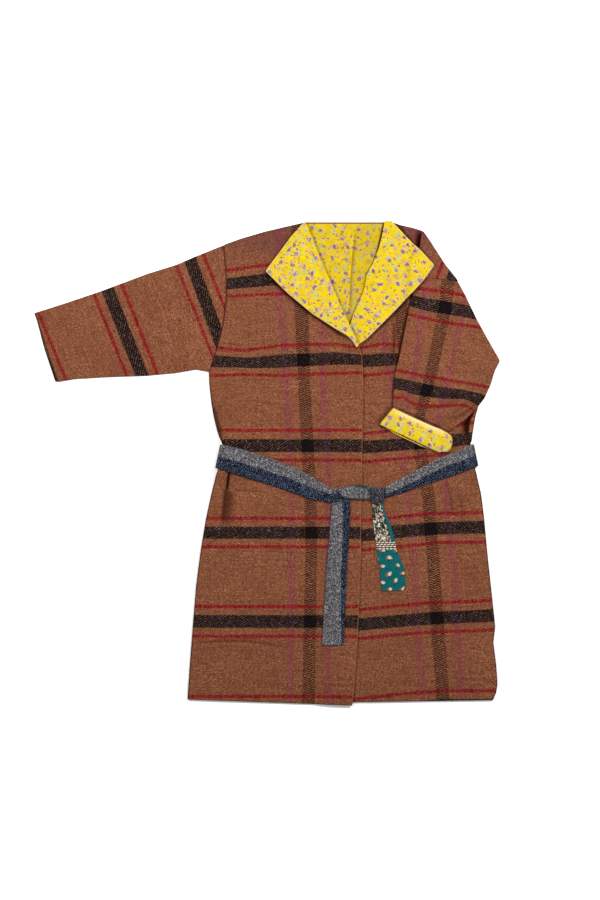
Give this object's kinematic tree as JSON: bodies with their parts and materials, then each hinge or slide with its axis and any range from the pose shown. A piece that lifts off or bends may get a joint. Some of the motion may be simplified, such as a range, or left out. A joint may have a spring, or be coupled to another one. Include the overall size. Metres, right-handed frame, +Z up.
{
  "type": "wrap coat of kimono cut, laid flat",
  "caption": "Knee-length wool wrap coat laid flat, tied with its cloth belt, with turned-back lapels, an outstretched sleeve and a sleeve folded over the front.",
  "frame": {"origin": "on the floor under the middle of the laid-out coat", "axes": "+X towards the viewer's right, the folded sleeve's side; +Y from the hem to the neck; +Z up from the floor"},
  "size_m": [0.978, 1.016, 0.0262],
  "materials": {
    "wool_plaid": "brushed heather wool plaid, brown with black and red bands, soft nap",
    "floral_lining": "plain-woven yellow cotton with a small all-over flower print",
    "belt_tweed": "grey and navy tweed, one strip of each sewn together lengthwise",
    "belt_patch": "teal printed cloth with small buds"
  },
  "bodies": {
    "root": {"back": "wool_plaid", "front_left": "wool_plaid", "front_right": "wool_plaid", "sleeve_right": "wool_plaid", "sleeve_left": "wool_plaid", "sleeve_left_root": "wool_plaid", "shoulder_fold": "wool_plaid", "back_lining": "floral_lining", "lapel_left": "floral_lining", "lapel_right": "floral_lining", "cuff_left": "floral_lining", "belt_back": "belt_tweed", "belt_left": "belt_tweed", "belt_right": "belt_tweed", "belt_knot": "belt_tweed", "belt_tail_left": "belt_tweed", "belt_tail_right": "belt_tweed", "belt_tip_right": "belt_patch"}
  },
  "joints": []
}
